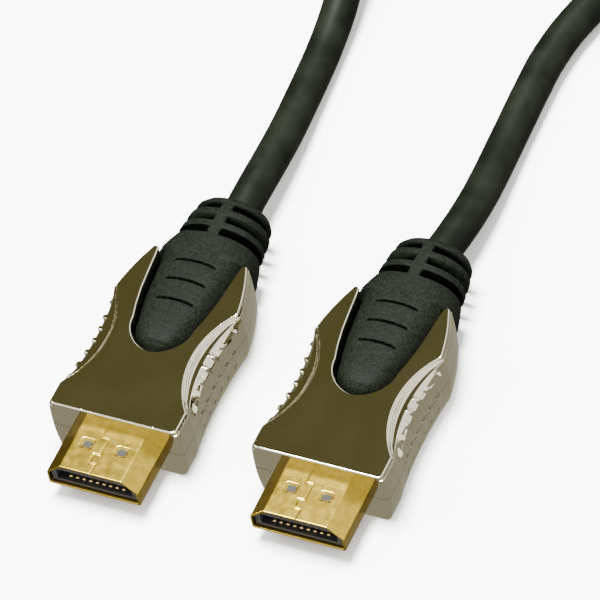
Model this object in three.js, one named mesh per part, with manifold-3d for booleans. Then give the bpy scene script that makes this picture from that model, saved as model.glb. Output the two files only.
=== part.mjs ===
// A digital video cable: two identical plugs side by side, and the cable that joins
// them, whose spare length is wound into a round coil held by a strap behind the plugs.
// Millimetres, +Z up, +Y from the plugs' mouths towards the coil.
import * as THREE from 'three';
import { mergeVertices } from 'three/addons/utils/BufferGeometryUtils.js';
import Module from 'manifold-3d';

// Clearances
const faceGap = 0.02;
const fitGap = 0.15;
const cableGap = 0.3;

// Where the two plugs lie
const plugSpacing = 29.9;
const plugStagger = 1.25;

// Metal shell of the plug
const shellWidth = 13.9;
const shellHeight = 4.45;
const shellTopWidth = 9.4;
const shellSideHeight = 2.45;
const shellWall = 0.3;
const shellReach = 8.1;
const shellSeat = 4;
const windowAcross = 2.6;
const windowSetback = 4.8;
const windowWidth = 1.2;
const windowLength = 1.0;

// Insulator and contacts inside the shell
const insulatorSetback = 0.5;
const insulatorFloorDepth = 6.6;
const slotWidth = 11.3;
const slotHeight = 1.9;
const slotRise = 1.95;
const contactsInWideRow = 10;
const contactPitch = 1.0;
const contactWidth = 0.45;
const contactThickness = 0.3;
const contactLength = 5.4;
const contactSetback = 0.6;

// Hood
const hoodHeight = 9.2;
const hoodLength = 29.9;
const hoodHalfWidth = 9.75;
const hoodCorner = 0.9;
const hoodShoulder = 19.2;
const hoodShoulderPull = 4;
const hoodTipPull = 3;
const hoodTipHalfWidth = 7.4;
const hoodEdge = 0.35;

// Finger scoop on each side of the hood, a shallow double cone about an upright axis
const scoopMiddle = 13.0;
const scoopTopRadius = 15;
const scoopTopHalfWidth = 6.3;
const scoopLedgeDrop = 1.0;
const scoopLedgeHalfWidth = 8.1;
const scoopSeamHalfWidth = 9.2;
const scoopBottomHalfWidth = 8.7;
const ribHeight = 0.35;
const ribWidth = 1.1;
const ribPitch = 2.11;
const ribCount = 6;
const ribFirst = 7.0;
const ribLean = 0.4;

// Boot
const tongueFront = 12.6;
const tongueNose = 4.7;
const tongueMiddleHalfWidth = 4.5;
const tongueWaistHalfWidth = 5.6;
const tongueWaist = 21;
const tongueRearHalfWidth = 6.4;
const tongueCrown = 0.5;
const bootHalfWidth = 7.2;
const bootEndHalfWidth = 5.0;
const sleeveLength = 11.1;
const sleeveShoulder = 1.1;
const bootTop = 9.3;
const bootBottom = 0.5;
const bootTaper = 3;
const bootEndRound = 1.2;
const bootSideRound = 2.6;
const bootDome = 0.75;
const bootCore = 2.8;
const bootSlotSetback = 4.6;
const bootSlotPitch = 2.27;
const bootSlotCount = 3;
const bootSlotWidth = 1.15;
const bootBridge = 1.75;
const grooveSetback = 8.7;
const groovePitch = 3.6;
const grooveCount = 3;
const grooveHalfLength = 3.2;
const grooveWidth = 0.5;
const grooveDepth = 0.45;
const grooveRadius = 20;

// Cable, coil and strap
const cableDiameter = 5.2;
const cableSides = 10;
const coilRadius = 29.4;
const coilCentre = 117.2;
const coilTurnsAcross = 4;
const coilHeight = 10.6;
const coilCorner = 2.4;
const strapWidth = 8;
const strapThickness = 0.9;

// Routes of the cable's two loose ends, from the boot to the side of the coil
const leadARoute = [
  [-14.95, 24.22, 4.6], [-14.97, 30, 4.5], [-15.1, 36, 4], [-15.4, 42, 3.4],
  [-15.9, 48, 2.9], [-16.3, 53, 2.65], [-16.8, 59, 2.65], [-17.6, 67, 3.8],
  [-19.2, 75.5, 6], [-22.1, 85, 7.7], [-26.6, 94.6, 7.5],
];
const leadBRoute = [
  [14.95, 25.47, 4.6], [15.6, 31.5, 4.2], [15.75, 37, 3.6], [15.6, 42, 3.1],
  [15.35, 47, 2.75], [15.15, 52.5, 2.6], [15, 58.5, 2.6], [15.1, 66, 2.6],
  [16.6, 74.5, 2.6], [20, 83.5, 2.6], [24.3, 89.6, 2.6], [28.6, 93.4, 2.6],
];

const curveSteps = 10;
const roundSteps = 96;

const finishes = {
  shell: new THREE.MeshStandardMaterial({ color: '#b8933c', roughness: 0.25, metalness: 1 }),
  contact: new THREE.MeshStandardMaterial({ color: '#d9b552', roughness: 0.3, metalness: 1 }),
  hood: new THREE.MeshStandardMaterial({ color: '#c9c4b4', roughness: 0.12, metalness: 1 }),
  insulator: new THREE.MeshStandardMaterial({ color: '#1b1b1c', roughness: 0.6, metalness: 0 }),
  boot: new THREE.MeshStandardMaterial({ color: '#2b3029', roughness: 0.75, metalness: 0 }),
  jacket: new THREE.MeshStandardMaterial({ color: '#141614', roughness: 0.5, metalness: 0 }),
  strap: new THREE.MeshStandardMaterial({ color: '#202122', roughness: 0.9, metalness: 0 }),
};

const wasm = await Module();
wasm.setup();

const alongX = new THREE.Vector3(1, 0, 0);
const alongY = new THREE.Vector3(0, 1, 0);
const alongZ = new THREE.Vector3(0, 0, 1);

// A geometry's shared corners are merged, so that it closes into one solid.
function toSolid(geometry) {
  const bare = geometry.clone();
  bare.deleteAttribute('normal');
  bare.deleteAttribute('uv');
  const merged = mergeVertices(bare, 1e-4);
  return new wasm.Manifold(new wasm.Mesh({
    numProp: 3,
    vertProperties: new Float32Array(merged.attributes.position.array),
    triVerts: new Uint32Array(merged.index.array),
  }));
}

function toGeometry(solid) {
  const mesh = solid.getMesh();
  const geometry = new THREE.BufferGeometry();
  geometry.setAttribute('position', new THREE.BufferAttribute(mesh.vertProperties, 3));
  geometry.setIndex(new THREE.BufferAttribute(mesh.triVerts, 1));
  geometry.computeVertexNormals();
  return geometry;
}

// A plan, drawn in x and y, raised from one height to another.
function raised(shape, bottom, top, edge = 0) {
  const geometry = new THREE.ExtrudeGeometry(shape, {
    depth: top - bottom - 2 * edge,
    curveSegments: curveSteps,
    bevelEnabled: edge > 0,
    bevelThickness: edge,
    bevelSize: edge,
    bevelOffset: -edge,
    bevelSegments: 1,
  });
  return geometry.translate(0, 0, bottom + edge);
}

// A section, drawn in x and z, run from one y to another.
function runAlongY(shape, front, rear) {
  const geometry = new THREE.ExtrudeGeometry(shape, {
    depth: rear - front, curveSegments: curveSteps, bevelEnabled: false,
  });
  const turn = new THREE.Matrix4().makeBasis(alongX, alongZ, alongY.clone().negate());
  return geometry.applyMatrix4(turn).translate(0, rear, 0);
}

// A side view, drawn in y and z, run across from one x to its mirror.
function runAcross(shape, halfWidth) {
  const geometry = new THREE.ExtrudeGeometry(shape, {
    depth: 2 * halfWidth, curveSegments: curveSteps, bevelEnabled: false,
  });
  const turn = new THREE.Matrix4().makeBasis(alongY, alongZ, alongX);
  return geometry.applyMatrix4(turn).translate(-halfWidth, 0, 0);
}

function block(width, length, height, x, y, z) {
  return new THREE.BoxGeometry(width, length, height).translate(x, y, z);
}

const shellBottom = (hoodHeight - shellHeight) / 2;
const bootEnd = hoodLength + sleeveLength;
const bootShoulder = hoodLength + sleeveShoulder;

// The plug's mouth outline: upright sides below and a sloping shoulder on each side above,
// drawn in or out of the shell's outer face by `inset`.
function mouthShape(inset) {
  const half = shellWidth / 2 - inset;
  const topHalf = shellTopWidth / 2 - inset * 0.42;
  const bottom = shellBottom + inset;
  const knee = shellBottom + shellSideHeight - inset * 0.45;
  const top = shellBottom + shellHeight - inset;
  const shape = new THREE.Shape();
  shape.moveTo(-half, bottom);
  shape.lineTo(half, bottom);
  shape.lineTo(half, knee);
  shape.lineTo(topHalf, top);
  shape.lineTo(-topHalf, top);
  shape.lineTo(-half, knee);
  shape.closePath();
  return shape;
}

function makeShell() {
  const inside = runAlongY(mouthShape(shellWall), -shellReach - 1, shellSeat + 1);
  let shell = toSolid(runAlongY(mouthShape(0), -shellReach, shellSeat));
  shell = shell.subtract(toSolid(inside));
  for (const side of [-1, 1]) {
    const window = block(windowWidth, windowLength, shellHeight + 1, side * windowAcross,
      windowSetback - shellReach, hoodHeight / 2);
    shell = shell.subtract(toSolid(window));
  }
  return toGeometry(shell);
}

const insulatorFront = insulatorSetback - shellReach;
const slotMiddle = shellBottom + slotRise;

function makeInsulator() {
  const body = toSolid(runAlongY(mouthShape(shellWall + fitGap), insulatorFront, shellSeat));
  const slotLength = insulatorFloorDepth + 1;
  const slot = block(slotWidth, slotLength, slotHeight, 0,
    insulatorFront + insulatorFloorDepth - slotLength / 2, slotMiddle);
  return toGeometry(body.subtract(toSolid(slot)));
}

// The contacts lie on the floor and the ceiling of the insulator's slot, in two
// staggered rows, the upper one a contact longer than the lower.
function contactPlaces() {
  const reach = slotHeight / 2 - contactThickness / 2 - faceGap;
  const places = [];
  for (const [side, count] of [[1, contactsInWideRow], [-1, contactsInWideRow - 1]]) {
    for (let i = 0; i < count; i += 1) {
      const x = (i - (count - 1) / 2) * contactPitch;
      places.push([x, insulatorFront + contactSetback + contactLength / 2,
        slotMiddle + side * reach]);
    }
  }
  return places;
}

// Plan of the hood: square front, straight sides, and a curve in to the two rear tips.
function hoodPlan() {
  const shape = new THREE.Shape();
  shape.moveTo(-hoodHalfWidth + hoodCorner, 0);
  shape.lineTo(hoodHalfWidth - hoodCorner, 0);
  shape.quadraticCurveTo(hoodHalfWidth, 0, hoodHalfWidth, hoodCorner);
  shape.lineTo(hoodHalfWidth, hoodShoulder);
  shape.bezierCurveTo(hoodHalfWidth, hoodShoulder + hoodShoulderPull, hoodTipHalfWidth + 1,
    hoodLength - hoodTipPull, hoodTipHalfWidth, hoodLength);
  shape.lineTo(-hoodTipHalfWidth, hoodLength);
  shape.bezierCurveTo(-hoodTipHalfWidth - 1, hoodLength - hoodTipPull, -hoodHalfWidth,
    hoodShoulder + hoodShoulderPull, -hoodHalfWidth, hoodShoulder);
  shape.lineTo(-hoodHalfWidth, hoodCorner);
  shape.quadraticCurveTo(-hoodHalfWidth, 0, -hoodHalfWidth + hoodCorner, 0);
  return shape;
}

// Plan of the boot: a round-nosed tongue between the hood's tips, then the sleeve.
function bootPlan(grow) {
  const front = tongueFront - grow;
  const cheek = front + tongueNose;
  const middle = tongueMiddleHalfWidth + grow;
  const waist = tongueWaistHalfWidth + grow;
  const rear = tongueRearHalfWidth + grow;
  const step = hoodLength + cableGap;
  const turn = bootEndRound;
  const end = bootEndHalfWidth;
  const shape = new THREE.Shape();
  shape.moveTo(0, front);
  shape.bezierCurveTo(middle * 0.6, front, middle * 0.85, front + tongueNose / 2, middle, cheek);
  shape.quadraticCurveTo(waist, tongueWaist, rear, step);
  shape.lineTo(bootHalfWidth, step);
  shape.lineTo(bootHalfWidth, bootShoulder);
  shape.bezierCurveTo(bootHalfWidth, bootShoulder + bootTaper, end + turn, bootEnd - bootTaper,
    end, bootEnd - turn / 2);
  shape.quadraticCurveTo(end, bootEnd, end - turn, bootEnd);
  shape.lineTo(turn - end, bootEnd);
  shape.quadraticCurveTo(-end, bootEnd, -end, bootEnd - turn / 2);
  shape.bezierCurveTo(-end - turn, bootEnd - bootTaper, -bootHalfWidth, bootShoulder + bootTaper,
    -bootHalfWidth, bootShoulder);
  shape.lineTo(-bootHalfWidth, step);
  shape.lineTo(-rear, step);
  shape.quadraticCurveTo(-waist, tongueWaist, -middle, cheek);
  shape.bezierCurveTo(-middle * 0.85, front + tongueNose / 2, -middle * 0.6, front, 0, front);
  return shape;
}

// The scoop is turned about an upright axis outside the hood. `depth` moves its whole
// surface into the hood.
function makeScoop(side, depth) {
  const axis = scoopTopHalfWidth + scoopTopRadius;
  const over = 1;
  const profile = [
    new THREE.Vector2(0, -over),
    new THREE.Vector2(axis - scoopBottomHalfWidth + depth, -over),
    new THREE.Vector2(axis - scoopBottomHalfWidth + depth, 0),
    new THREE.Vector2(axis - scoopSeamHalfWidth + depth, hoodHeight / 2),
    new THREE.Vector2(axis - scoopLedgeHalfWidth + depth, hoodHeight - scoopLedgeDrop),
    new THREE.Vector2(scoopTopRadius + depth, hoodHeight),
    new THREE.Vector2(scoopTopRadius + depth, hoodHeight + over),
    new THREE.Vector2(0, hoodHeight + over),
  ];
  const turned = new THREE.LatheGeometry(profile, roundSteps).rotateX(Math.PI / 2);
  return toSolid(turned.translate(side * axis, scoopMiddle, 0));
}

// The grip's ribs lean back from the top and bottom edges to the seam, like arrowheads.
function makeRibs(side) {
  const half = hoodHeight / 2;
  const reach = hoodHalfWidth - scoopTopHalfWidth + 2;
  const middle = side * (hoodHalfWidth - reach / 2 + 1);
  let ribs = null;
  for (let i = 0; i < ribCount; i += 1) {
    const head = ribFirst + i * ribPitch;
    const shape = new THREE.Shape();
    shape.moveTo(head - ribWidth / 2, -0.5);
    shape.lineTo(head + ribWidth / 2, -0.5);
    shape.lineTo(head + ribLean + ribWidth / 2, half);
    shape.lineTo(head + ribWidth / 2, hoodHeight + 0.5);
    shape.lineTo(head - ribWidth / 2, hoodHeight + 0.5);
    shape.lineTo(head + ribLean - ribWidth / 2, half);
    shape.closePath();
    const rib = toSolid(runAcross(shape, reach / 2).translate(middle, 0, 0));
    ribs = ribs ? ribs.add(rib) : rib;
  }
  return ribs;
}

// Both hood halves come out of one solid, parted at mid-height.
function makeHoodHalves() {
  let hood = toSolid(raised(hoodPlan(), 0, hoodHeight, hoodEdge));
  for (const side of [-1, 1]) {
    const grip = makeScoop(side, ribHeight).subtract(makeRibs(side));
    hood = hood.subtract(grip).subtract(makeScoop(side, 0));
  }
  const pocket = runAlongY(mouthShape(-fitGap), -1, shellSeat + fitGap);
  hood = hood.subtract(toSolid(pocket));
  hood = hood.subtract(toSolid(raised(bootPlan(cableGap), -1, hoodHeight + 1)));
  const width = 2 * hoodHalfWidth + 2;
  const height = hoodHeight / 2;
  const lower = toSolid(block(width, 2 * hoodLength + 2, height - faceGap / 2 + 1, 0, 0,
    (height - faceGap / 2 - 1) / 2));
  const upper = toSolid(block(width, 2 * hoodLength + 2, height - faceGap / 2 + 1, 0, 0,
    hoodHeight / 2 + (height + faceGap / 2 + 1) / 2));
  return { top: toGeometry(hood.intersect(upper)), bottom: toGeometry(hood.intersect(lower)) };
}

// Side view of the boot: flush with the hood below, crowned over it, then a little lower
// behind the tips, with a round end.
function bootSide() {
  const crown = hoodHeight + tongueCrown;
  const turn = bootEndRound;
  const shape = new THREE.Shape();
  shape.moveTo(tongueFront - 1, 0);
  shape.lineTo(hoodLength, 0);
  shape.quadraticCurveTo(bootShoulder, 0, bootShoulder + turn, bootBottom);
  shape.lineTo(bootEnd - turn, bootBottom);
  shape.quadraticCurveTo(bootEnd, bootBottom, bootEnd, bootBottom + turn);
  shape.lineTo(bootEnd, bootTop - turn);
  shape.quadraticCurveTo(bootEnd, bootTop, bootEnd - turn, bootTop);
  shape.lineTo(bootShoulder + turn, bootTop);
  shape.quadraticCurveTo(bootShoulder, crown, hoodLength - turn, crown);
  shape.lineTo(tongueFront - 1, crown);
  shape.closePath();
  return shape;
}

// Front section of the boot: flat below, domed above, with full rounded sides.
function bootSection() {
  const crown = hoodHeight + tongueCrown;
  const brow = crown - bootDome;
  const half = bootHalfWidth + faceGap;
  const flat = half - bootSideRound;
  const middle = hoodHeight / 2;
  const shape = new THREE.Shape();
  shape.moveTo(-flat, 0);
  shape.lineTo(flat, 0);
  shape.quadraticCurveTo(half, 0, half, middle);
  shape.quadraticCurveTo(half, brow, flat, brow);
  shape.quadraticCurveTo(flat / 2, crown, 0, crown);
  shape.quadraticCurveTo(-flat / 2, crown, -flat, brow);
  shape.quadraticCurveTo(-half, brow, -half, middle);
  shape.quadraticCurveTo(-half, 0, -flat, 0);
  return shape;
}

// A short arc groove, drawn in plan, that bows towards the cable.
function groovePlan(y) {
  const swing = Math.asin(grooveHalfLength / grooveRadius);
  const outer = grooveRadius + grooveWidth / 2;
  const inner = grooveRadius - grooveWidth / 2;
  const left = Math.PI / 2 + swing;
  const right = Math.PI / 2 - swing;
  const shape = new THREE.Shape();
  shape.absarc(0, y - grooveRadius, outer, right, left, false);
  shape.absarc(0, y - grooveRadius, inner, left, right, true);
  return shape;
}

function makeBoot() {
  let boot = toSolid(raised(bootPlan(0), -1, hoodHeight + 1));
  boot = boot.intersect(toSolid(runAcross(bootSide(), bootHalfWidth + 1)));
  boot = boot.intersect(toSolid(runAlongY(bootSection(), tongueFront - 2, bootEnd + 1)));
  const core = toSolid(new THREE.CylinderGeometry(bootCore, bootCore, 2 * bootEnd, 32)
    .translate(0, 0, hoodHeight / 2));
  for (let i = 0; i < bootSlotCount; i += 1) {
    const y = hoodLength + bootSlotSetback + i * bootSlotPitch;
    for (const side of [-1, 1]) {
      const reach = bootHalfWidth + 1;
      const slot = block(reach, bootSlotWidth, hoodHeight + 2,
        side * (bootBridge / 2 + reach / 2), y, hoodHeight / 2);
      boot = boot.subtract(toSolid(slot).subtract(core));
    }
  }
  for (let i = 0; i < grooveCount; i += 1) {
    const plan = groovePlan(tongueFront + grooveSetback + i * groovePitch);
    const crown = hoodHeight + tongueCrown;
    boot = boot.subtract(toSolid(raised(plan, crown - grooveDepth, crown + 1)));
  }
  return toGeometry(boot);
}

// A tube along a route, with a section of a few flat sides.
function makeTube(route) {
  const path = new THREE.CatmullRomCurve3(route.map((point) => new THREE.Vector3(...point)));
  const shape = new THREE.Shape();
  const radius = cableDiameter / 2;
  for (let i = 0; i < cableSides; i += 1) {
    const angle = (i + 0.5) / cableSides * 2 * Math.PI;
    const place = [radius * Math.cos(angle), radius * Math.sin(angle)];
    if (i === 0) shape.moveTo(...place);
    else shape.lineTo(...place);
  }
  shape.closePath();
  return new THREE.ExtrudeGeometry(shape, { extrudePath: path, steps: route.length });
}

const coilHalfBreadth = coilTurnsAcross * cableDiameter / 2;

// Section of the coil's bundle, drawn as radius and height and grown by `grow`.
function coilProfile(grow) {
  const shape = new THREE.Shape();
  const inner = coilRadius - coilHalfBreadth - grow;
  const outer = coilRadius + coilHalfBreadth + grow;
  const bottom = -grow;
  const top = coilHeight + grow;
  shape.moveTo(inner + coilCorner, bottom);
  shape.lineTo(outer - coilCorner, bottom);
  shape.quadraticCurveTo(outer, bottom, outer, bottom + coilCorner);
  shape.lineTo(outer, top - 2 * coilCorner);
  shape.quadraticCurveTo(outer, top, outer - 2 * coilCorner, top);
  shape.lineTo(inner + 2 * coilCorner, top);
  shape.quadraticCurveTo(inner, top, inner, top - 2 * coilCorner);
  shape.lineTo(inner, bottom + coilCorner);
  shape.quadraticCurveTo(inner, bottom, inner + coilCorner, bottom);
  return shape;
}

function coilRing(grow) {
  const profile = coilProfile(grow).getPoints(4);
  profile[profile.length - 1].copy(profile[0]);
  return new THREE.LatheGeometry(profile, roundSteps / 2).rotateX(Math.PI / 2)
    .translate(0, coilCentre, 0);
}

// The strap is a band round the coil's bundle on its far side, standing on the surface.
// Its inner wall is flat, so it stands off the ring's hollow side by the ring's bow there.
function strapBand(inset) {
  const hollow = coilRadius - coilHalfBreadth - cableGap;
  const inner = Math.sqrt(hollow ** 2 - (strapWidth / 2) ** 2) - strapThickness + inset;
  const outer = coilRadius + coilHalfBreadth + cableGap + strapThickness - inset;
  const bottom = inset;
  const top = coilHeight + cableGap + strapThickness - inset;
  const length = outer - inner;
  return block(strapWidth + (inset > 0 ? 2 : 0), length, top - bottom, 0,
    coilCentre + (inner + outer) / 2, (top + bottom) / 2);
}

function makeStrap() {
  return toGeometry(toSolid(strapBand(0)).subtract(toSolid(strapBand(strapThickness))));
}

function makeCoil() {
  const inner = coilRadius - coilHalfBreadth - 2;
  const outer = coilRadius + coilHalfBreadth + 2;
  const seat = strapThickness + cableGap;
  const notch = block(strapWidth + 2 * cableGap, outer - inner, seat + 1, 0,
    coilCentre + (inner + outer) / 2, (seat - 1) / 2);
  return toGeometry(toSolid(coilRing(0)).subtract(toSolid(notch)));
}

function makeLead(route) {
  return toGeometry(toSolid(makeTube(route)).subtract(toSolid(coilRing(cableGap))));
}

function named(name, geometry, material) {
  const mesh = new THREE.Mesh(geometry, material);
  mesh.name = name;
  return mesh;
}

function makePlug(letter) {
  const plug = new THREE.Group();
  const hood = makeHoodHalves();
  plug.add(named(`plug_${letter}_shell`, makeShell(), finishes.shell));
  plug.add(named(`plug_${letter}_insulator`, makeInsulator(), finishes.insulator));
  contactPlaces().forEach((place, index) => {
    const strip = new THREE.BoxGeometry(contactWidth, contactLength, contactThickness);
    const contact = named(`plug_${letter}_contact_${index + 1}`, strip, finishes.contact);
    contact.position.set(...place);
    plug.add(contact);
  });
  plug.add(named(`plug_${letter}_hood_top`, hood.top, finishes.hood));
  plug.add(named(`plug_${letter}_hood_bottom`, hood.bottom, finishes.hood));
  plug.add(named(`plug_${letter}_boot`, makeBoot(), finishes.boot));
  return plug;
}

// The origin is under the middle of the box round the two plugs.
const plugMiddle = (bootEnd - shellReach) / 2;
const cable = new THREE.Group();
for (const [letter, side] of [['a', -1], ['b', 1]]) {
  const plug = makePlug(letter);
  plug.position.set(side * plugSpacing / 2, side * plugStagger / 2 - plugMiddle, 0);
  cable.add(plug);
}
cable.add(named('cable_lead_a', makeLead(leadARoute), finishes.jacket));
cable.add(named('cable_lead_b', makeLead(leadBRoute), finishes.jacket));
cable.add(named('cable_coil', makeCoil(), finishes.jacket));
cable.add(named('cable_strap', makeStrap(), finishes.strap));

export default cable;
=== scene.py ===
import math

import bpy
import numpy as np
from mathutils import Matrix, Vector


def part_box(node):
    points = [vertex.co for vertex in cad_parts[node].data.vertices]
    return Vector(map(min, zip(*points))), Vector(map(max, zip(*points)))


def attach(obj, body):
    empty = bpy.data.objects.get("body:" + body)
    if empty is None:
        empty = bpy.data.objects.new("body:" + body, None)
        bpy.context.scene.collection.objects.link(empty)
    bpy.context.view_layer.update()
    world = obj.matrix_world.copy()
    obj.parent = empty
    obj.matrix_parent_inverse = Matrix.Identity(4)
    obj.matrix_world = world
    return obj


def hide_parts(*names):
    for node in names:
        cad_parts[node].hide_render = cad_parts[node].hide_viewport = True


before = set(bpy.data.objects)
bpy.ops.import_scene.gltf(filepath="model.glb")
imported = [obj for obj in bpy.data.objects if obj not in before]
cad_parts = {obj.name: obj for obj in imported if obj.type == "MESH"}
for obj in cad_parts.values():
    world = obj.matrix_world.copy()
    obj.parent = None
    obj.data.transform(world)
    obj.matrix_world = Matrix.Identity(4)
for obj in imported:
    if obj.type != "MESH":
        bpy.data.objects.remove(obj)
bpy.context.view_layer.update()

# The camera looks down on the two plugs from in front and to the right, through a long
# lens and turned a little about its own axis, so that the cables run up to the right.
MM = 0.001
view_turn, view_rise, view_roll = 33.28, 49.45, -12.75
view_distance = 826.2
view_centre = Vector((-0.56, 12.78, 4.6)) * MM
lens_per_width, sensor_width = 10.0, 36

turn, rise = math.radians(view_turn), math.radians(view_rise)
towards_camera = Vector((
    math.sin(turn) * math.cos(rise), -math.cos(turn) * math.cos(rise), math.sin(rise)))
camera_data = bpy.data.cameras.new("camera")
camera_data.sensor_width = sensor_width
camera_data.lens = sensor_width * lens_per_width
camera_data.clip_start = 0.01
camera_data.clip_end = 20
camera = bpy.data.objects.new("camera", camera_data)
camera.matrix_world = (
    Matrix.Translation(view_centre + towards_camera * view_distance * MM)
    @ towards_camera.to_track_quat("Z", "Y").to_matrix().to_4x4()
    @ Matrix.Rotation(math.radians(view_roll), 4, "Z"))
bpy.context.collection.objects.link(camera)
bpy.context.scene.camera = camera


# Shader maths in this file is written as sums on sockets: a Shade holds one output socket,
# and each sign adds the Math node that it stands for.
class Shade:
    def __init__(self, tree, socket):
        self.tree = tree
        self.socket = socket

    def node(self, kind, settings=None, **inputs):
        made = self.tree.nodes.new(kind)
        for name, value in (settings or {}).items():
            setattr(made, name, value)
        for name, value in inputs.items():
            key = int(name[1:]) if name[0] == "i" and name[1:].isdigit() else name.replace("_", " ")
            socket = made.inputs[key]
            if isinstance(value, Shade):
                self.tree.links.new(value.socket, socket)
            else:
                socket.default_value = value
        return made

    def out(self, made, name=0):
        return Shade(self.tree, made.outputs[name])

    def maths(self, operation, first, second):
        settings = {"operation": operation}
        return self.out(self.node("ShaderNodeMath", settings, i0=first, i1=second))

    def __add__(self, other):
        return self.maths("ADD", self, other)

    def __radd__(self, other):
        return self.maths("ADD", other, self)

    def __mul__(self, other):
        return self.maths("MULTIPLY", self, other)

    def __rmul__(self, other):
        return self.maths("MULTIPLY", other, self)

    def noise(self, where, scale, detail=2.0, roughness=0.5):
        made = self.node("ShaderNodeTexNoise", None, Vector=where, Scale=scale, Detail=detail,
                         Roughness=roughness)
        return self.out(made, "Fac")

    def ramp(self, low, high):
        made = self.node("ShaderNodeMapRange", None, Value=self, From_Min=low, From_Max=high)
        return self.out(made)

    def mix(self, first, second):
        made = self.node("ShaderNodeMix", {"data_type": "RGBA"}, Factor=self)
        for index, colour in ((6, first), (7, second)):
            if isinstance(colour, Shade):
                self.tree.links.new(colour.socket, made.inputs[index])
            else:
                made.inputs[index].default_value = (*colour, 1)
        return Shade(self.tree, made.outputs[2])

    def bump(self, strength, distance):
        made = self.node("ShaderNodeBump", None, Height=self, Strength=strength,
                         Distance=distance)
        return self.out(made)


def new_material(name, **constants):
    """A surface whose unvarying values sit on the shader itself."""
    material = bpy.data.materials.new(name)
    material.use_nodes = True
    shader = material.node_tree.nodes["Principled BSDF"]
    for key, value in constants.items():
        socket = shader.inputs[key.replace("_", " ")]
        socket.default_value = (*value, 1) if isinstance(value, tuple) else value
    places = material.node_tree.nodes.new("ShaderNodeTexCoord")
    where = Shade(material.node_tree, places.outputs["Object"])
    return material, shader, where


def feed(shader, **sockets):
    for key, value in sockets.items():
        value.tree.links.new(value.socket, shader.inputs[key.replace("_", " ")])


# The cable: one round cord with a smooth black PVC jacket. It leaves each boot at
# mid-height, comes down on the table, and its spare length is wound flat, four turns on
# the table and three on top of them, out of the photograph's view.
cable_diameter = 5.2
lead_a = [
    (-14.95, 24.22, 4.6), (-14.97, 30, 4.5), (-15.1, 36, 4), (-15.4, 42, 3.4),
    (-15.9, 48, 2.9), (-16.3, 53, 2.65), (-16.8, 59, 2.65), (-17.6, 67, 3.8),
    (-19.2, 75.5, 6), (-22.1, 85, 7.7), (-26.6, 94.6, 7.5),
]
lead_b = [
    (14.95, 25.47, 4.6), (15.6, 31.5, 4.2), (15.75, 37, 3.6), (15.6, 42, 3.1),
    (15.35, 47, 2.75), (15.15, 52.5, 2.6), (15, 58.5, 2.6), (15.1, 66, 2.6),
    (16.6, 74.5, 2.6), (20, 83.5, 2.6), (24.3, 89.6, 2.6), (28.6, 93.4, 2.6),
]
coil_radius, coil_centre = 29.4, 117.2
coil_half_turns, coil_overlap = 13, math.radians(40)
turn_places = [(1.5, 0), (0.5, 0), (-0.5, 0), (-1.5, 0), (-1, 1), (0, 1), (1, 1)]
points_per_turn = 32
layer_rise = cable_diameter * math.sqrt(3) / 2
strap_thickness = 0.9
# Where on a turn the cable steps across, climbs, humps over the turn below and crosses the
# strap, and how far each of these runs, in half turns from the coil's +X side.
step_start, step_start_above, step_run = 1.25, 1.15, 0.5
climb_start, climb_run = 1.2, 0.4
hump_start, hump_run, hump_share = 1.05, 0.75, 0.155
strap_crossing, strap_run = 0.5, 0.3


def smooth(value):
    value = min(max(value, 0.0), 1.0)
    return value * value * (3 - 2 * value)


def coil_point(angle):
    """Each turn keeps its own place across the bundle, and all of them step over to the
    next place on the near side. The far side is lifted by the strap under it."""
    turn_number = min(max(int(angle // (2 * math.pi)), 0), len(turn_places) - 1)
    part = angle / math.pi - 2 * turn_number
    here = turn_places[turn_number]
    after = turn_places[min(turn_number + 1, len(turn_places) - 1)]
    step = smooth((part - (step_start_above if here[1] == 1 else step_start)) / step_run)
    across = here[0] + (after[0] - here[0]) * step
    layer = here[1] + (after[1] - here[1]) * smooth((part - climb_start) / climb_run)
    hump = hump_share * math.sin(math.pi * smooth((part - hump_start) / hump_run)) * layer
    lift = strap_thickness * smooth(1 - abs(part - strap_crossing) / strap_run)
    radius = coil_radius + across * cable_diameter
    height = cable_diameter / 2 + (layer + hump) * layer_rise + lift
    return (radius * math.cos(angle), coil_centre + radius * math.sin(angle), height)


coil_sweep = math.pi * coil_half_turns + 2 * coil_overlap
coil_points = round(points_per_turn * coil_sweep / (2 * math.pi))
coil = [coil_point(coil_sweep * i / coil_points - coil_overlap) for i in range(1, coil_points)]
route = lead_b + coil + lead_a[::-1]

cord_data = bpy.data.curves.new("cable", "CURVE")
cord_data.dimensions = "3D"
cord_data.bevel_depth = cable_diameter / 2 * MM
cord_data.bevel_resolution = 7
cord_data.resolution_u = 4
cord_data.use_fill_caps = True
spline = cord_data.splines.new("BEZIER")
spline.bezier_points.add(len(route) - 1)
for knot, place in zip(spline.bezier_points, route):
    knot.co = Vector(place) * MM
    knot.handle_left_type = knot.handle_right_type = "AUTO"
cord = bpy.data.objects.new("cable", cord_data)
bpy.context.collection.objects.link(cord)

jacket, jacket_shader, where = new_material(
    "black_pvc_jacket", Base_Color=(0.004, 0.006, 0.003), Roughness=0.5,
    Specular_IOR_Level=0.05)
cloud = where.noise(where, 240, 3)
grain = where.noise(where, 2600, 2)
feed(jacket_shader,
     Base_Color=cloud.ramp(0.35, 0.7).mix((0.0016, 0.0022, 0.0012), (0.0040, 0.0050, 0.0030)),
     Roughness=cloud * 0.12 + grain * 0.1 + 0.36,
     Normal=(grain * 0.6 + cloud * 0.4).bump(0.25, 0.00004))
cord_data.materials.append(jacket)

cable_nodes = ("cable_lead_a", "cable_lead_b", "cable_coil")
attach(cord, "root")
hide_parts(*cable_nodes)


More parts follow.
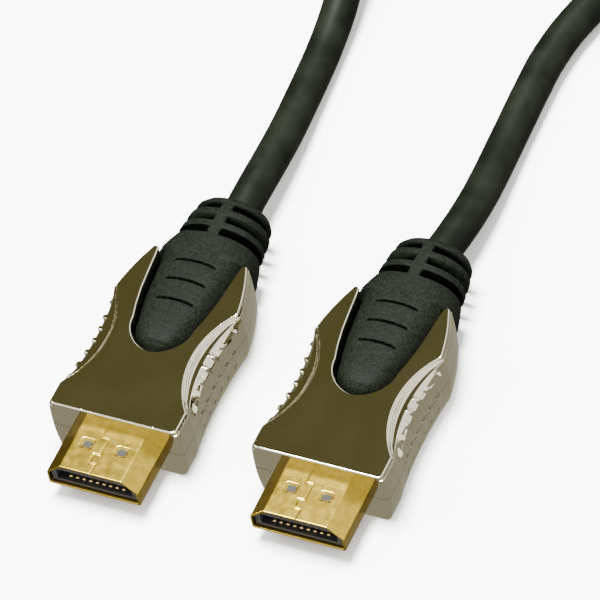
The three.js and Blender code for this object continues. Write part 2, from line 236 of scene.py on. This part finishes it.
# The floor is a pale studio sweep, and the light a soft tent, nearly white above and duller
# below. Two dark cards stand in it: one behind and above the plugs, which the flat tops of
# the hoods mirror, and one to the left. Two round lamps, overhead and aside, cast shadows.
floor_reach = 3000
tent_above, tent_below, tent_strength = (1.0, 0.99, 0.97), (0.20, 0.19, 0.15), 2.2
horizon_low, horizon_high = -0.12, 0.06
card_colour = (0.064, 0.057, 0.021)
back_card = (-towards_camera.x, -towards_camera.y, towards_camera.z)
side_card = (-0.80, 0.58, 0.15)
back_card_edges, side_card_edges = (24, 15), (46, 36)
lamp_distance = 0.8
lamps = (("overhead", (-0.15, 0.1, 1.0), 0.34, 56), ("side", (-0.75, -0.1, 0.75), 0.35, 4))


def add_piece(name, points, faces, material):
    mesh = bpy.data.meshes.new(name)
    mesh.from_pydata([tuple(Vector(p) * MM) for p in points], [], faces)
    mesh.validate()
    mesh.materials.append(material)
    mesh.shade_smooth()
    piece = bpy.data.objects.new(name, mesh)
    bpy.context.collection.objects.link(piece)
    return piece


floor_material = new_material(
    "pale_floor", Base_Color=(0.95, 0.95, 0.95), Roughness=1.0, Specular_IOR_Level=0.0)[0]
floor = add_piece(
    "floor",
    [(-floor_reach, -floor_reach, 0), (floor_reach, -floor_reach, 0),
     (floor_reach, floor_reach, 0), (-floor_reach, floor_reach, 0)],
    [(0, 1, 2, 3)], floor_material)
floor.visible_glossy = False

world = bpy.data.worlds.new("light_tent")
world.use_nodes = True
bpy.context.scene.world = world
tent = world.node_tree
tent_coordinates = tent.nodes.new("ShaderNodeTexCoord")
looking = Shade(tent, tent_coordinates.outputs["Generated"])


def card_mask(direction, edges):
    """1 on a card that stands in one direction, fading out between two angles round it."""
    facing = looking.out(looking.node(
        "ShaderNodeVectorMath", {"operation": "DOT_PRODUCT"}, i0=looking, i1=direction),
        "Value")
    outer, inner = (math.cos(math.radians(edge)) for edge in edges)
    return facing.ramp(outer, inner)


cards = looking.maths("MAXIMUM", card_mask(back_card, back_card_edges),
                      card_mask(side_card, side_card_edges))
height = looking.out(looking.node("ShaderNodeSeparateXYZ", None, Vector=looking), "Z")
tent_colour = height.ramp(horizon_low, horizon_high).mix(tent_below, tent_above)
tent_colour = cards.mix(tent_colour, card_colour)
background = tent.nodes["Background"]
tent.links.new(tent_colour.socket, background.inputs["Color"])
background.inputs["Strength"].default_value = tent_strength

for light_name, light_direction, light_size, light_power in lamps:
    lamp = bpy.data.lights.new(light_name, "AREA")
    lamp.shape = "DISK"
    lamp.size = light_size
    lamp.energy = light_power
    light = bpy.data.objects.new(light_name, lamp)
    direction = Vector(light_direction).normalized()
    light.matrix_world = (Matrix.Translation(view_centre + direction * lamp_distance)
                          @ direction.to_track_quat("Z", "Y").to_matrix().to_4x4())
    bpy.context.collection.objects.link(light)

# Where each plug stands: its own origin is on the table under the middle of the hood's
# front face, and its mouth points to -Y.
plugs = {}
for letter in "ab":
    low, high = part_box(f"plug_{letter}_hood_bottom")
    plugs[letter] = Vector(((low[0] + high[0]) / 2, low[1], low[2])) / MM

# The mouth: a rolled and gold-plated steel shell, its edges butted along a puzzle seam on
# top, with two latch windows. It is gripped inside the hood.
shell_width, shell_height, shell_top_width, shell_side = 13.9, 4.45, 9.4, 2.45
shell_wall, shell_reach, shell_tail = 0.3, 8.1, 1.0
shell_bottom = 2.375
shell_top, shell_middle = shell_bottom + shell_height, shell_bottom + shell_height / 2
shell_round, lip_round = 0.4, 0.12
shell_rows, top_spacing, flat_margin = 120, 0.07, 0.05
inner_rows, inner_setback = (0.0, 0.15, shell_reach), 0.02
window_across, window_setback = 2.6, 4.8
window_hole, window_rim, window_sink = (1.2, 1.0), 0.38, 0.28
window_press, window_floor, window_least_height = 1.05, 0.93, shell_bottom + 3.9
seam_path = [(0, 0), (0, 1.75), (-0.9, 1.75), (-0.9, 3.35), (0, 3.35), (0, 6.2),
             (-1.0, 6.2), (-1.0, 9.1)]
seam_half_width, seam_depth = 0.19, 0.13


def rounded_loop(corners, radius, steps):
    """A closed outline with each corner turned into an arc of a given radius."""
    loop = []
    count = len(corners)
    for i in range(count):
        before, corner, after = (Vector(corners[i - 1]), Vector(corners[i]),
                                 Vector(corners[(i + 1) % count]))
        to_before = (before - corner).normalized()
        to_after = (after - corner).normalized()
        half = to_before.angle(to_after) / 2
        reach = radius / math.tan(half)
        centre = corner + (to_before + to_after).normalized() * radius / math.sin(half)
        start = corner + to_before * reach - centre
        end = corner + to_after * reach - centre
        sweep = start.angle(end)
        for k in range(steps + 1):
            part = k / steps
            arm = (start * math.sin((1 - part) * sweep) + end * math.sin(part * sweep))
            loop.append(centre + arm / math.sin(sweep))
    return loop


def mouth_loop():
    """The shell's outline seen from the front, with extra points along its flat top."""
    half, top_half = shell_width / 2, shell_top_width / 2
    knee = shell_bottom + shell_side
    corners = [(half, shell_bottom), (half, knee), (top_half, shell_top),
               (-top_half, shell_top), (-half, knee), (-half, shell_bottom)]
    outer = rounded_loop(corners, shell_round, 6)
    flat_start = max(i for i, p in enumerate(outer) if p.x > 0 and p.y > shell_top - flat_margin)
    right, left = outer[flat_start].x, outer[flat_start + 1].x
    fine = int((right - left) / top_spacing)
    top_run = [Vector((right + (left - right) * k / fine, outer[flat_start].y))
               for k in range(1, fine)]
    return outer[:flat_start + 1] + top_run + outer[flat_start + 1:]


def seam_distance(x, y):
    nearest = shell_width
    for (x0, y0), (x1, y1) in zip(seam_path, seam_path[1:]):
        run = max(abs(x1 - x0), abs(y1 - y0))
        part = min(max(((x - x0) * (x1 - x0) + (y - y0) * (y1 - y0)) / run ** 2, 0), 1)
        nearest = min(nearest, math.hypot(x - x0 - part * (x1 - x0), y - y0 - part * (y1 - y0)))
    return nearest


def window_depth(x, y):
    """How far the top is pressed in round a latch window: 0 outside, 1 in the hole."""
    dx = abs(abs(x) - window_across) - window_hole[0] / 2
    dy = abs(y - window_setback) - window_hole[1] / 2
    outside = math.hypot(max(dx, 0), max(dy, 0))
    return max(0.0, 1 - outside / window_rim)


def make_shell_mesh():
    """The outer wall runs back from a rounded lip, with the windows and the seam pressed
    into its top. The inner wall has the same outline, smaller, and joins it at the lip."""
    loop = mouth_loop()
    count = len(loop)
    straight = shell_reach + shell_tail - lip_round
    sections = [(lip_round * (1 - math.sin(a)), lip_round * (1 - math.cos(a)))
                for a in (0.0, 0.4, 0.8, 1.2, 1.57)]
    sections += [(0.0, lip_round + straight * k / shell_rows)
                 for k in range(1, shell_rows + 1)]
    points, faces = [], []
    for inset, y in sections:
        for p in loop:
            x = p.x - math.copysign(min(inset, abs(p.x)), p.x) * abs(p.x) / (shell_width / 2)
            z = p.y + (inset if p.y < shell_middle else -inset)
            if p.y > shell_top - flat_margin and inset == 0.0:
                pressed = min(1.0, window_depth(x, y) * window_press)
                groove = max(0.0, 1 - seam_distance(x, y) / seam_half_width)
                z -= window_sink * pressed + seam_depth * smooth(groove)
            points.append((x, y - shell_reach, z))
    for row in range(len(sections) - 1):
        for i in range(count):
            j = (i + 1) % count
            faces.append((row * count + i, row * count + j, (row + 1) * count + j,
                          (row + 1) * count + i))
    base = len(points)
    share_x = 1 - shell_wall / (shell_width / 2)
    share_z = 1 - shell_wall / (shell_height / 2)
    for y in inner_rows:
        points += [(p.x * share_x, y - shell_reach + inner_setback,
                    shell_middle + (p.y - shell_middle) * share_z) for p in loop]
    for i in range(count):
        j = (i + 1) % count
        faces.append((base + i, base + j, j, i))
        for row in range(len(inner_rows) - 1):
            start = base + row * count
            faces.append((start + i, start + count + i, start + count + j, start + j))
    return points, faces


gold, gold_shader, where = new_material("gold_plate", Metallic=1.0, Roughness=0.2)
streaks = where.out(where.node("ShaderNodeMapping", None, Vector=where, Scale=(900, 60, 900)))
drawn = where.noise(streaks, 1.0, 3)
speck = where.noise(where, 900, 4)
feed(gold_shader,
     Base_Color=speck.ramp(0.3, 0.8).mix((0.36, 0.245, 0.026), (0.50, 0.36, 0.052)),
     Roughness=speck * 0.08 + 0.17,
     Normal=(drawn * 0.5 + speck * 0.5).bump(0.12, 0.00003))
window_grey, window_shader, where = new_material(
    "window_grey", Base_Color=(0.018, 0.018, 0.014), Metallic=0.0, Roughness=0.7,
    Specular_IOR_Level=0.1)
speck = where.noise(where, 1500, 3)
feed(window_shader, Roughness=speck * 0.3 + 0.4)

shell_points, shell_faces = make_shell_mesh()
for letter, origin in plugs.items():
    placed = [(p[0] + origin.x, p[1] + origin.y, p[2]) for p in shell_points]
    shell = add_piece(f"shell_{letter}", placed, shell_faces, gold)
    shell.data.materials.append(window_grey)
    for face in shell.data.polygons:
        x = face.center.x / MM - origin.x
        y = face.center.y / MM - origin.y + shell_reach
        if face.center.z / MM > window_least_height and window_depth(x, y) > window_floor:
            face.material_index = 1
    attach(shell, "root")
    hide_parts(f"plug_{letter}_shell")

# The insulator is a black glass-filled moulding pressed into the shell, and the contacts
# are stamped strips, gold over nickel, that stand in its slot in two staggered rows.
contacts_per_plug = 19
height_between_rows = 4.4
strip_lift, strip_bow, strip_bow_pace, strip_foot = 0.15, 0.12, 1.6, 0.01
strip_side, strip_flat, strip_drop = 0.02, 0.06, 0.03
strip_steps = 24

moulding, moulding_shader, where = new_material(
    "black_insulator", Base_Color=(0.012, 0.012, 0.013), Roughness=0.5)
grain = where.noise(where, 1800, 3)
feed(moulding_shader, Roughness=grain * 0.25 + 0.35, Normal=grain.bump(0.2, 0.00003))
strip_gold, strip_shader, where = new_material(
    "contact_gold", Metallic=1.0, Roughness=0.25, Base_Color=(0.85, 0.6, 0.2))
speck = where.noise(where, 2000, 2)
feed(strip_shader, Roughness=speck * 0.2 + 0.2,
     Base_Color=speck.mix((0.75, 0.5, 0.15), (0.9, 0.68, 0.28)))


def add_strip(points, faces, low, high):
    """One strip, bowed towards the slot's middle, with bevelled edges and its flanks."""
    upper = low.z > height_between_rows
    inward, back = (-1, high.z) if upper else (1, low.z)
    outline = []
    for k in range(strip_steps + 1):
        part = k / strip_steps
        bow = math.sin(math.pi * min(part * strip_bow_pace, 1)) ** 2
        outline.append((low.y + (high.y - low.y) * part,
                        back + inward * (strip_lift + strip_bow * bow)))
    rows = strip_steps + 1
    start = len(points)
    for x, drop in ((low.x + strip_side, strip_drop), (low.x + strip_flat, 0.0),
                    (high.x - strip_flat, 0.0), (high.x - strip_side, strip_drop)):
        points += [(x, y, z - inward * drop) for y, z in outline]
    foot, last = len(points), len(points) - rows
    for x in (low.x + strip_side, high.x - strip_side):
        points += [(x, y, back + inward * strip_foot) for y, z in outline]
    quads = [(a, a + rows, a + rows + 1, a + 1)
             for column in (start, start + rows, start + 2 * rows)
             for a in range(column, column + strip_steps)]
    for k in range(strip_steps):
        quads.append((start + k, start + k + 1, foot + k + 1, foot + k))
        quads.append((last + k + 1, last + k, foot + rows + k, foot + rows + k + 1))
    faces += [quad[::-1] if upper else quad for quad in quads]
    faces.append((start, foot, foot + rows, last, start + 2 * rows, start + rows))


for letter in plugs:
    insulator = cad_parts[f"plug_{letter}_insulator"]
    insulator.data.materials.clear()
    insulator.data.materials.append(moulding)
    points, faces = [], []
    names = [f"plug_{letter}_contact_{i + 1}" for i in range(contacts_per_plug)]
    for name in names:
        add_strip(points, faces, *(Vector(corner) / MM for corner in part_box(name)))
    contacts = add_piece(f"contacts_{letter}", points, faces, strip_gold)
    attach(contacts, "root")
    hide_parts(*names)

# The hood: two die-cast zinc halves, polished and plated with warm bright nickel, which
# snap together round the boot. Each side has a finger scoop with a finely grooved rim and
# a row of ribs, which stand nearly upright and end in bright bevelled heads at the top.
hood_height, hood_length = 9.2, 29.9
bevel, bevel_steps, bevel_run = 0.22, 4, 0.2
crease_angle = math.radians(55)
lid_inset, parting_gap, parting_land = 0.06, 0.03, 0.5
corner_round = 0.7
scoop_start, scoop_middle, scoop_end, scoop_arc = 3.9, 13.0, 21.6, 0.62
shoulder_swell = 0.6
tip_start, tip_round = 29.35, 0.55
tongue_half_widths = (
    (17.3, 4.55), (19.5, 5.1), (22.4, 5.6), (26, 5.95), (28.4, 6.15), (30.2, 6.4))
nose_length, nose_fullness = 5.0, 1.15
front_steps, corner_steps, grip_steps, shoulder_steps = 12, 8, 190, 24
tip_steps, tongue_steps, nose_steps, wall_steps = 10, 36, 16, 96

# Each level's half-widths at the front, the waist, the shoulder and the tip. The falls say
# how a wall goes from its edge to the parting line: share of the drop, share of the way out.
top_edge = (9.5, 6.3, 9.3, 7.05)
bottom_edge = (9.6, 8.8, 9.3, 7.15)
parting_line = (10.05, 9.2, 9.9, 7.45)
top_fall = ((0, 0), (0.03, 0.09), (0.075, 0.28), (0.085, 0.33), (0.088, 0.54), (0.10, 0.58),
            (0.20, 0.735), (0.25, 0.79), (0.35, 0.86), (0.5, 0.92), (0.7, 0.965), (1, 1))
bottom_fall = ((0, 0), (0.1, 0.25), (0.3, 0.6), (0.6, 0.88), (1, 1))
fall_drop, fall_reach = 2.6, 2.9

# The grip: its ribs, the grooves in its rim (way down, depth), the flats that fill the gaps
# between the rib heads, and the small pits at the ribs' feet.
rib_first, rib_pitch, rib_count, rib_lean = 7.0, 2.15, 6, 0.4
grip_start, grip_start_run, grip_end, grip_end_run = 4.6, 1.4, 20.9, 1.2
grip_reach, grip_least_x, tongue_margin = 9.5, 6.2, 0.5
rim_grooves, rim_groove_width = ((0.44, 0.14), (0.74, 0.12)), 0.05
head_start, head_width, last_head_width = 1.85, 0.66, 1.7
head_side_start, head_side_run = 0.14, 0.24
flat_rise, flat_run_in, flat_length, flat_run_out = 0.46, 0.72, 1.3, 0.5
top_rib_rise, top_rib_start, top_rib_run = 0.12, 0.9, 0.4
bottom_rib_rise, bottom_rib_start, bottom_rib_run = 0.13, 0.5, 0.6
# Where a pit's shape passes pit_shown, its faces get a painted shade.
pit_depth, pit_shown = 0.3, 0.4
top_pit_rise, top_pit_lean, top_pit_size = 0.3, 0.3, (0.26, 0.24)
bottom_pit_height, bottom_pit_lean, bottom_pit_shift, bottom_pit_size = 2.1, 0.5, 0.1, (0.24, 0.2)


def spaced(low, high, count):
    """Evenly spaced values after the low one, up to the high one."""
    return [low + (high - low) * k / count for k in range(1, count + 1)]


def profile(y, stations):
    """A value that runs straight from each station to the next, given as (y, value)."""
    places, values = zip(*stations)
    return float(np.interp(y, places, values))


def curve3(ends, part):
    """A point on a quadratic curve through two ends, pulled by the middle value."""
    a, b, c = ends
    return a * (1 - part) ** 2 + 2 * b * part * (1 - part) + c * part ** 2


def side_half_width(y, front, waist, shoulder, tip):
    """Half-width of one outline of the hood: straight, scooped, then in to the tip."""
    if y >= scoop_end:
        part = (y - scoop_end) / (hood_length - scoop_end)
        return curve3((shoulder, (shoulder + tip) / 2 + shoulder_swell, tip), part)
    outer = front if y < scoop_middle else shoulder
    reach = scoop_end - scoop_middle if y > scoop_middle else scoop_middle - scoop_start
    part = min(abs(y - scoop_middle) / reach, 1) * scoop_arc
    rise = (1 - math.sqrt(1 - part ** 2)) / (1 - math.sqrt(1 - scoop_arc ** 2))
    return waist + (outer - waist) * rise


def tongue_half_width(y):
    """Half-width of the cut-out for the boot's tongue."""
    return profile(y, tongue_half_widths)


def hood_outline(front, waist, shoulder, tip):
    """The closed outline of one level, from the front round one side to the tongue's
    cut-out and back round the other. Every level has its points in the same order."""
    right = [(x, 0.0) for x in spaced(0.0, front - corner_round, front_steps)]
    right += [(front - corner_round + corner_round * math.sin(a),
               corner_round - corner_round * math.cos(a))
              for a in spaced(0.0, math.pi / 2, corner_steps)]
    ys = (spaced(corner_round, scoop_start, front_steps)
          + spaced(scoop_start, scoop_end, grip_steps)
          + spaced(scoop_end, tip_start, shoulder_steps))
    right += [(side_half_width(y, front, waist, shoulder, tip), y) for y in ys]
    tip_x = right[-1][0]
    inner_x = tongue_half_width(tip_start)
    middle, radius = (tip_x + inner_x) / 2, (tip_x - inner_x) / 2
    right += [(middle + radius * math.cos(a), tip_start + tip_round * math.sin(a))
              for a in spaced(0.0, math.pi, tip_steps)]
    nose_start, nose_half = tongue_half_widths[0]
    right += [(tongue_half_width(y), y) for y in spaced(tip_start, nose_start, tongue_steps)]
    right += [(nose_half * math.cos(a) ** nose_fullness, nose_start - nose_length * math.sin(a))
              for a in spaced(0.0, math.pi / 2, nose_steps)[:-1]]
    right.append((0.0, nose_start - nose_length))
    left = [(-x, y) for x, y in right[:-1]][::-1]
    return [(0.0, 0.0)] + right + left


def inward_row(outline, distance, depth):
    """The outline moved in by a distance, point by point, at one depth."""
    moved = []
    count = len(outline)
    for i, (x, y) in enumerate(outline):
        x0, y0 = outline[i - 1]
        x1, y1 = outline[(i + 1) % count]
        dx, dy = x1 - x0, y1 - y0
        length = math.hypot(dx, dy) or 1
        moved.append((x - dy / length * distance, y + dx / length * distance, depth))
    return moved


def dip(value, centre, reach):
    return math.exp(-((value - centre) / reach) ** 2)


def grip_relief(y, along, depth, upper):
    """How far the scoop's wall stands out, and how much of a pit is there. `along` is the
    way down from the top's edge: a rim with two fine grooves, then the rib heads with flats
    between them, then shallow ribs. The bottom half has only shallow ribs."""
    fade = smooth((y - grip_start) / grip_start_run) * smooth((grip_end - y) / grip_end_run)
    if fade == 0:
        return 0.0, 0.0
    half = hood_height / 2
    phase = (y - rib_first - rib_lean * depth / half) / rib_pitch
    nearest = min(max(round(phase), 0), rib_count - 1)
    off = phase - nearest
    across = abs(off) * 2
    if not upper:
        ribs = (bottom_rib_rise * (1 - min(across, 1) ** 3)
                * smooth((depth - bottom_rib_start) / bottom_rib_run))
        tall, wide = bottom_pit_size
        pit = (dip(depth, bottom_pit_height + bottom_pit_lean * off, tall)
               * dip(off, bottom_pit_shift, wide))
        return fade * (ribs - pit_depth * pit), fade * pit
    rim = -sum(deep * dip(along, place, rim_groove_width) for place, deep in rim_grooves)
    wide = last_head_width if nearest == rib_count - 1 and off > 0 else head_width
    between = smooth((across - wide + head_side_start) / head_side_run)
    flat = flat_rise * between * max(0.0, min(
        (along - head_start) / flat_run_in, (head_start + flat_length - along) / flat_run_out))
    ribs = (top_rib_rise * (1 - min(across, 1) ** 4)
            * smooth((along - head_start - top_rib_start) / top_rib_run))
    pit = (dip(depth, half - top_pit_rise, top_pit_size[0])
           * dip(off, top_pit_lean * (half - depth), top_pit_size[1]))
    return fade * (rim + flat + ribs - pit_depth * pit), fade * pit


def make_hood_half(upper):
    """Rows of points from the flat outer face over the bevel and down the wall to the
    parting line. In the scoops each point moves out along the wall's own normal."""
    half = hood_height / 2
    rim = hood_outline(*(top_edge if upper else bottom_edge))
    fall = top_fall if upper else bottom_fall
    parting = hood_outline(*parting_line)
    count = len(rim)
    rows = [inward_row(rim, bevel + lid_inset, 0.0)]
    for k in range(bevel_steps + 1):
        a = math.pi / 2 * k / bevel_steps
        rows.append(inward_row(rim, bevel * (1 - math.sin(a)), bevel * (1 - math.cos(a))))
    run = [0.0]
    for (part0, share0), (part1, share1) in zip(fall, fall[1:]):
        run.append(run[-1] + math.hypot((part1 - part0) * fall_drop,
                                        (share1 - share0) * fall_reach))
    run = [length / run[-1] for length in run]
    waists = [abs(y - (scoop_start + scoop_end) / 2) < grip_reach and abs(x) > grip_least_x
              and abs(x) > tongue_half_width(y) + tongue_margin for x, y in rim]
    travelled = [0.0] * count
    pits = set()
    before = rows[-1]
    for k in range(1, wall_steps + 1):
        part, share = (float(np.interp(k / wall_steps, run, [f[n] for f in fall]))
                       for n in (0, 1))
        depth = bevel + (half - parting_gap - bevel) * part
        level, plain = [], []
        for i, ((x0, y0), (x1, y1)) in enumerate(zip(rim, parting)):
            x = x0 + (x1 - x0) * share
            y = y0 + (y1 - y0) * part
            plain.append((x, y, depth))
            over, drop = abs(x) - abs(before[i][0]), depth - before[i][2]
            step = math.hypot(over, drop)
            travelled[i] += step
            if waists[i]:
                out, pit = grip_relief(y, travelled[i] + bevel_run, depth, upper)
                if pit > pit_shown:
                    pits.add((len(rows), i))
                x += math.copysign(out * drop / step, x)
                level.append((x, y, depth - out * over / step))
            else:
                level.append((x, y, depth))
        rows.append(level)
        before = plain
    rows.append(inward_row(parting, parting_land, half - parting_gap))
    points, faces = [], []
    for level in rows:
        points += [(x, y, hood_height - depth if upper else depth) for x, y, depth in level]
    for row in range(len(rows) - 1):
        for i in range(count):
            j = (i + 1) % count
            quad = (row * count + i, (row + 1) * count + i, (row + 1) * count + j,
                    row * count + j)
            faces.append(quad if upper else quad[::-1])
    lid = tuple(range(count))
    base = tuple(range((len(rows) - 1) * count, len(rows) * count))
    faces.append(lid if upper else lid[::-1])
    faces.append(base[::-1] if upper else base)
    return points, faces, {row * count + i for row, i in pits}


nickel, nickel_shader, where = new_material("warm_nickel_plate", Metallic=1.0, Roughness=0.06)
haze = where.noise(where, 160, 3)
pit = where.noise(where, 2000, 0)
feed(nickel_shader,
     Base_Color=haze.mix((0.57, 0.54, 0.42), (0.63, 0.595, 0.47)),
     Roughness=haze * 0.05 + 0.04,
     Normal=(haze * 0.5 + pit.ramp(0.775, 0.81) * 1.6).bump(0.1, 0.00004))

# The faces deep in the grip's pits take a dark, dull nickel: painted shade, so that the pits read
# dark. The noise only mottles that painted shade.
pit_painted_shade, pit_shader, where = new_material("pits_painted_shade", Metallic=0.6, Roughness=0.5)
pit_shade_mottle = where.noise(where, 900, 2)
feed(pit_shader, Base_Color=pit_shade_mottle.mix((0.05, 0.048, 0.03), (0.09, 0.085, 0.055)))

for part_name, upper in (("top", True), ("bottom", False)):
    hood_points, hood_faces, hood_pits = make_hood_half(upper)
    for letter, origin in plugs.items():
        placed = [(p[0] + origin.x, p[1] + origin.y, p[2]) for p in hood_points]
        hood = add_piece(f"hood_{part_name}_{letter}", placed, hood_faces, nickel)
        hood.data.set_sharp_from_angle(angle=crease_angle)
        hood.data.materials.append(pit_painted_shade)
        # Faces with most of their corners in a pit get the painted pit shade.
        for face in hood.data.polygons:
            if len(face.vertices) == 4 and sum(v in hood_pits for v in face.vertices) > 2:
                face.material_index = 1
        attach(hood, "root")
        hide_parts(f"plug_{letter}_hood_{part_name}")

# The boot: soft black PVC moulded over the cable and the hood's inner ends, with a
# sandblasted grain. Its tongue shows between the tips, crossed by three arc grooves, and
# its sleeve has three slots on each side to bend with the cable.
boot_front, boot_end, sleeve_start = 12.7, 41.35, 30.15
boot_gap, boot_nose_fullness = 0.12, 1.1
sleeve_half_widths = (
    (30.15, 6.9), (30.5, 7.2), (31.2, 7.2), (32.5, 6.9), (34, 6.5), (36.5, 6.3),
    (38.5, 6.05), (40.1, 5.65), (40.8, 5.1), (41.2, 4.6), (41.35, 4.1))
boot_tops = (
    (12.7, 7.6), (13.0, 8.25), (13.5, 8.9), (14.3, 9.4), (15.5, 9.68), (17, 9.8), (27, 9.8),
    (29.5, 9.7), (31, 9.6), (34, 9.52), (38, 9.5), (40.1, 9.3), (40.8, 8.9), (41.2, 8.4),
    (41.35, 8.0))
boot_bottoms = (
    (12.7, 0.05), (28.5, 0.05), (31, 0.3), (34, 0.5), (38, 0.65), (40, 0.95), (41.2, 1.6),
    (41.35, 2.0))
boot_squareness = ((15, 3.1), (30, 3.0), (31, 2.9), (34, 2.25), (41, 2.1))
boot_step, boot_nose_step, boot_nose_end, points_around_boot = 0.1, 0.05, 14, 200
boot_first_step, shadow_sum = 0.005, 1.4
groove_places, groove_reach = (21.3, 24.9, 28.4), (3.1, 3.3, 3.4)
groove_bow_radius, groove_width, groove_depth, groove_fade = 16.0, 0.3, 0.5, 0.7
groove_widest = 60
slot_places, slot_width, slot_bridge = (34.5, 36.77, 39.04), 1.1, 1.75
slot_core, slot_edge, slot_end = 3.0, 0.14, 0.3


def boot_half_width(y):
    nose_start, nose_half = tongue_half_widths[0]
    if y < nose_start:
        part = (nose_start - y) / (nose_start - boot_front)
        return (nose_half - boot_gap) * math.sqrt(max(0.0, 1 - part ** 2)) ** boot_nose_fullness
    if y < sleeve_start:
        return tongue_half_width(y) - boot_gap
    return profile(y, sleeve_half_widths)


def make_boot_mesh():
    """Rounded-square sections from the nose to the end, with the grooves and the slots
    sunk into them. It also says how deep in a groove or slot each point lies."""
    ys = []
    y = boot_front + boot_first_step
    while y < boot_end:
        ys.append(y)
        y += boot_step if y > boot_nose_end else boot_nose_step
    ys.append(boot_end)
    around = points_around_boot
    points, faces, shaded = [], [], []
    for y in ys:
        wide = boot_half_width(y)
        top, bottom = profile(y, boot_tops), profile(y, boot_bottoms)
        middle, tall = (top + bottom) / 2, (top - bottom) / 2
        square = profile(y, boot_squareness)
        slot = max(smooth((slot_width / 2 + slot_edge / 2 - abs(y - place)) / slot_edge)
                   for place in slot_places)
        for k in range(around):
            angle = 2 * math.pi * (k + 0.5) / around
            c, s = math.cos(angle), math.sin(angle)
            sunk = 0.0
            x = wide * math.copysign(abs(c) ** (2 / square), c)
            z = middle + tall * math.copysign(abs(s) ** (2 / square), s)
            if y < sleeve_start and s > 0:
                bow = groove_bow_radius - math.sqrt(
                    groove_bow_radius ** 2 - min(x * x, groove_widest))
                for place, reach in zip(groove_places, groove_reach):
                    near = abs(y - place + bow)
                    cut = (smooth(1 - near / groove_width)
                           * smooth((reach - abs(x)) / groove_fade))
                    z -= groove_depth * cut
                    sunk = max(sunk, cut)
            if slot > 0 and abs(x) > slot_bridge / 2:
                inside = slot * smooth((abs(x) - slot_bridge / 2) / slot_end)
                arm = math.hypot(x, z - middle)
                pull = 1 - inside * (1 - slot_core / arm)
                x, z = x * pull, middle + (z - middle) * pull
                sunk = max(sunk, inside)
            points.append((x, y, z))
            shaded.append(sunk)
    rows = len(ys)
    for row in range(rows - 1):
        for k in range(around):
            n = (k + 1) % around
            faces.append((row * around + k, row * around + n, (row + 1) * around + n,
                          (row + 1) * around + k)[::-1])
    faces.append(tuple(range(around)))
    faces.append(tuple(range((rows - 1) * around, rows * around))[::-1])
    return points, faces, shaded


soft_black, boot_shader, where = new_material(
    "grained_black_pvc", Roughness=0.6, Specular_IOR_Level=0.03)
sand = where.noise(where, 4200, 2, 0.6)
coarse = where.noise(where, 1500, 3)
feed(boot_shader,
     Base_Color=(sand.ramp(0.42, 0.75) * 0.8 + coarse.ramp(0.4, 0.8) * 0.2).mix(
         (0.0010, 0.0016, 0.0009), (0.0075, 0.0094, 0.0062)),
     Roughness=sand * 0.3 + 0.42,
     Normal=(sand * 0.7 + coarse * 0.3).bump(0.7, 0.00012))
# The faces deep in the tongue's grooves and the sleeve's slots get a near-black, matt PVC: painted
# shade, darker than the boot's own black.
groove_and_slot_shade, slot_shader, where = new_material(
    "shadowed_black_pvc", Roughness=0.9, Specular_IOR_Level=0.0)
sand = where.noise(where, 4200, 2, 0.6)
feed(slot_shader, Base_Color=sand.mix((0.0003, 0.0004, 0.0003), (0.0012, 0.0016, 0.0011)))
boot_points, boot_faces, boot_shaded = make_boot_mesh()
for letter, origin in plugs.items():
    placed = [(p[0] + origin.x, p[1] + origin.y, p[2]) for p in boot_points]
    boot = add_piece(f"boot_{letter}", placed, boot_faces, soft_black)
    boot.data.materials.append(groove_and_slot_shade)
    # Faces sunk deep in a groove or slot take the painted shade.
    for face in boot.data.polygons:
        face.material_index = int(sum(boot_shaded[v] for v in face.vertices) > shadow_sum)
    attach(boot, "root")
    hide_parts(f"plug_{letter}_boot")

# The strap: a black woven hook-and-loop band with rounded edges, drawn tight round the
# coil's far side. It holds the turns together.
strap_shoulder, strap_outer_slope, strap_inner_slope, strap_round = 6.4, 3.6, 3.2, 1.7
strap_hem, strap_edge = 0.2, 0.25
webbing, webbing_shader, where = new_material(
    "black_webbing", Roughness=0.85, Specular_IOR_Level=0.1)
weave_x = where.out(where.node(
    "ShaderNodeTexWave", {"wave_type": "BANDS", "bands_direction": "X"}, Vector=where,
    Scale=900.0, Distortion=0.4), "Fac")
weave_y = where.out(where.node(
    "ShaderNodeTexWave", {"wave_type": "BANDS", "bands_direction": "Y"}, Vector=where,
    Scale=900.0, Distortion=0.4), "Fac")
cloth = weave_x * weave_y
feed(webbing_shader, Base_Color=cloth.mix((0.0010, 0.0010, 0.0012), (0.0060, 0.0060, 0.0068)),
     Normal=cloth.bump(0.6, 0.0001))
strap_low, strap_high = (Vector(c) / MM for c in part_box("cable_strap"))


def make_strap_mesh():
    inner, outer = strap_low.y, strap_high.y
    bottom, top = strap_low.z, strap_high.z
    shoulder = bottom + strap_shoulder
    corners = [(inner, bottom), (outer, bottom), (outer, shoulder),
               (outer - strap_outer_slope, top), (inner + strap_inner_slope, top),
               (inner, shoulder)]
    loop = rounded_loop(corners, strap_round, 8)
    count = len(loop)
    half = (strap_high.x - strap_low.x) / 2
    face, back = strap_thickness, strap_thickness - strap_edge
    section = [(-half, strap_edge), (strap_hem - half, 0.0), (half - strap_hem, 0.0),
               (half, strap_edge), (half, back), (half - strap_hem, face),
               (strap_hem - half, face), (-half, back)]
    points, faces = [], []
    for i, place in enumerate(loop):
        along = (loop[(i + 1) % count] - loop[i - 1]).normalized()
        normal = Vector((-along.y, along.x))
        for x, depth in section:
            spot = place + normal * depth
            points.append((x, spot.x, spot.y))
    ring = len(section)
    for i in range(count):
        j = (i + 1) % count
        for k in range(ring):
            n = (k + 1) % ring
            faces.append((i * ring + k, i * ring + n, j * ring + n, j * ring + k))
    return points, faces


strap_points, strap_faces = make_strap_mesh()
strap = add_piece("strap", strap_points, strap_faces, webbing)
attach(strap, "root")
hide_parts("cable_strap")
